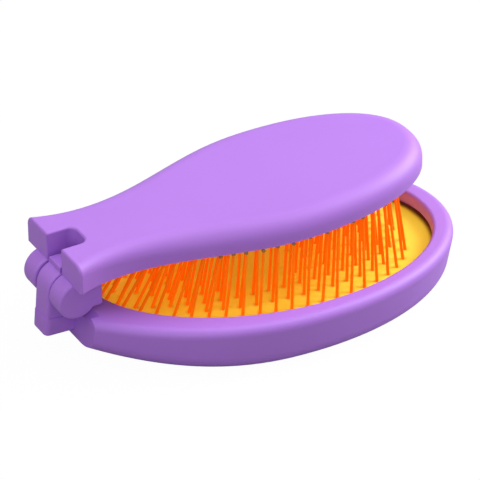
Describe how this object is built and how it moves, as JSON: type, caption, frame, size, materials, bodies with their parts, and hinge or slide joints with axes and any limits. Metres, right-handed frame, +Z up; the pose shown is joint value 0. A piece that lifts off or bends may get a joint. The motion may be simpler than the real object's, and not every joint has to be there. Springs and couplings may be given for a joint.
{
  "type": "folding travel brush",
  "caption": "Folding hair brush: a dished oval head with rows of bristles in a cushion pad, and a paddle handle that folds over it on a fork hinge.",
  "frame": {"origin": "middle of the folded brush's box, on the flat back of the head that it lies on", "axes": "+X from the hinge to the far end of the head, +Z up from the head's back to the folded handle"},
  "size_m": [0.1261, 0.073, 0.041],
  "materials": {
    "shell_purple": "satin",
    "pad_yellow": "satin",
    "bristle_orange": "satin",
    "tip_amber": "gloss",
    "pin_steel": "brushed"
  },
  "bodies": {
    "head": {"head_shell": "shell_purple", "cushion_pad": "pad_yellow", "bristle_row_01": "bristle_orange", "bristle_row_02": "bristle_orange", "bristle_row_03": "bristle_orange", "bristle_row_04": "bristle_orange", "bristle_row_05": "bristle_orange", "bristle_row_06": "bristle_orange", "bristle_row_07": "bristle_orange", "bristle_row_08": "bristle_orange", "bristle_row_09": "bristle_orange", "bristle_row_10": "bristle_orange", "bristle_row_11": "bristle_orange", "bristle_tips_01": "tip_amber", "bristle_tips_02": "tip_amber", "bristle_tips_03": "tip_amber", "bristle_tips_04": "tip_amber", "bristle_tips_05": "tip_amber", "bristle_tips_06": "tip_amber", "bristle_tips_07": "tip_amber", "bristle_tips_08": "tip_amber", "bristle_tips_09": "tip_amber", "bristle_tips_10": "tip_amber", "bristle_tips_11": "tip_amber"},
    "handle": {"handle_shell": "shell_purple", "handle_cover": "shell_purple", "hinge_pin": "pin_steel", "pin_plug": "shell_purple"}
  },
  "joints": [
    {"name": "handle_fold", "type": "hinge", "parent": "head", "child": "handle", "pos_m": [-0.05725, 0, 0.02], "axis": [0, -1, 0], "range_deg": [0, 175]}
  ]
}
